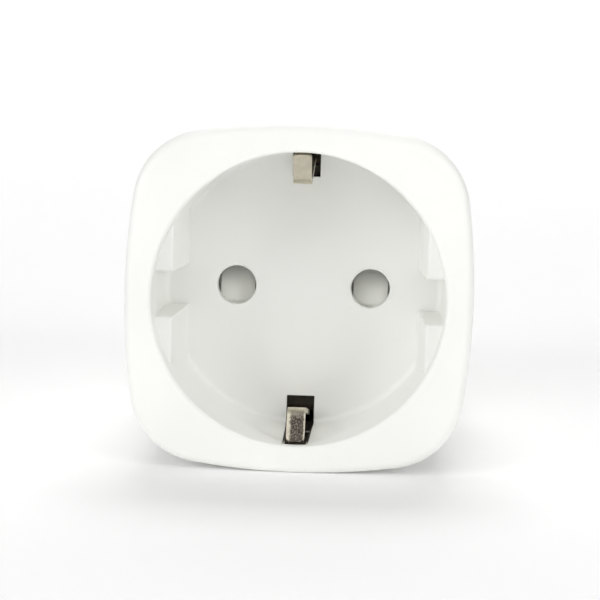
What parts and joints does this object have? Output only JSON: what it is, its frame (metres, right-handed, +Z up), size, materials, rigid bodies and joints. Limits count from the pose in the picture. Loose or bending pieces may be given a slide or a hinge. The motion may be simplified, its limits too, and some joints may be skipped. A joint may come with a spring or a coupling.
{
  "type": "plug in power meter",
  "caption": "White plug-through energy meter with a recessed earthed socket on the front, its earthed plug on the back and a side button.",
  "frame": {"origin": "middle of the plug's end face, between the roots of its two pins", "axes": "+Y along the plug's pins, into the wall outlet; the socket on the front faces -Y; +Z is up, from one earth clip to the other; +X is to the right when looking at the socket"},
  "size_m": [0.047, 0.082, 0.047],
  "materials": {
    "shell": "satin moulded",
    "button": "polished",
    "shutter": "satin moulded",
    "light_guide": "clear, milky",
    "dark_lining": "matt",
    "nickel_strip": "nickel plated, rolled",
    "nickel_pin": "nickel plated",
    "contact_brass": "stamped",
    "screw_steel": "zinc plated",
    "carrier_plastic": "moulded",
    "relay_plastic": "moulded",
    "circuit_board": "solder mask",
    "winding": "enamelled copper wire",
    "magnet_iron": "plated soft iron",
    "ferrite": "sintered",
    "capacitor_sleeve": "shrink sleeve",
    "capacitor_box": "moulded",
    "varistor_coat": "dipped epoxy",
    "resistor_coat": "lacquered",
    "shunt_metal": "bare alloy",
    "chip_black": "moulded epoxy",
    "shield_tin": "tin plated",
    "plunger_black": "moulded",
    "led_body": "clear"
  },
  "bodies": {
    "housing": {"front_cover": "shell", "rear_housing": "shell", "housing_screws": "screw_steel", "status_lens": "light_guide", "contact_carrier": "carrier_plastic", "line_contact": "contact_brass", "neutral_contact": "contact_brass", "clip_lining_top": "dark_lining", "clip_lining_bottom": "dark_lining", "earth_strap_top": "nickel_strip", "earth_strap_bottom": "nickel_strip", "earth_bridge": "nickel_strip", "french_earth_contact": "contact_brass", "line_pin": "nickel_pin", "neutral_pin": "nickel_pin", "pin_retainer": "carrier_plastic", "retainer_screws": "screw_steel", "board_screws": "screw_steel", "main_board": "circuit_board", "relay_base": "carrier_plastic", "relay_cover": "relay_plastic", "relay_bobbin": "carrier_plastic", "relay_coil": "winding", "relay_core": "magnet_iron", "relay_yoke": "magnet_iron", "relay_fixed_contact": "contact_brass", "transformer_core": "ferrite", "transformer_winding": "winding", "transformer_base": "carrier_plastic", "electrolytic_capacitors": "capacitor_sleeve", "safety_capacitor": "capacitor_box", "varistor": "varistor_coat", "fuse_resistor": "resistor_coat", "metering_shunt": "shunt_metal", "metering_chip": "chip_black", "bridge_rectifier": "chip_black", "chip_resistors": "chip_black", "control_board": "circuit_board", "board_header": "carrier_plastic", "radio_shield": "shield_tin", "switch_body": "carrier_plastic", "status_led": "led_body"},
    "button": {"push_button": "button"},
    "switch": {"switch_plunger": "plunger_black"},
    "shutter": {"safety_shutter": "shutter", "shutter_spring": "screw_steel"},
    "clip_top": {"earth_clip_top": "nickel_strip"},
    "clip_bottom": {"earth_clip_bottom": "nickel_strip"},
    "armature": {"relay_armature": "magnet_iron", "relay_contact_leaf": "contact_brass"}
  },
  "joints": [
    {"name": "button_press", "type": "slide", "parent": "housing", "child": "button", "axis": [-1, 0, 0], "range_m": [0, 0.0005], "stiffness_N_per_m": 1000, "springref_m": -0.0005},
    {"name": "switch_press", "type": "slide", "parent": "housing", "child": "switch", "axis": [-1, 0, 0], "range_m": [0, 0.0005]},
    {"name": "shutter_slide", "type": "slide", "parent": "housing", "child": "shutter", "axis": [0, 0, -1], "range_m": [0, 0.0056], "stiffness_N_per_m": 100, "springref_m": -0.002, "deforming": ["shutter_spring"]},
    {"name": "clip_top_flex", "type": "hinge", "parent": "housing", "child": "clip_top", "pos_m": [0, -0.04055, 0.0189], "axis": [-1, 0, 0], "range_deg": [0, 3.2], "stiffness_Nm_per_rad": 0.3},
    {"name": "clip_bottom_flex", "type": "hinge", "parent": "housing", "child": "clip_bottom", "pos_m": [0, -0.04055, -0.0189], "axis": [1, 0, 0], "range_deg": [0, 3.2], "stiffness_Nm_per_rad": 0.3},
    {"name": "relay_switching", "type": "hinge", "parent": "housing", "child": "armature", "pos_m": [-0.0083, -0.03595, 0.0121], "axis": [0, 0, 1], "range_deg": [0, 4], "stiffness_Nm_per_rad": 0.02, "springref_deg": -2.86}
  ],
  "couplings": [
    {"joint": "switch_press", "follows": "button_press", "ratio": 1}
  ]
}
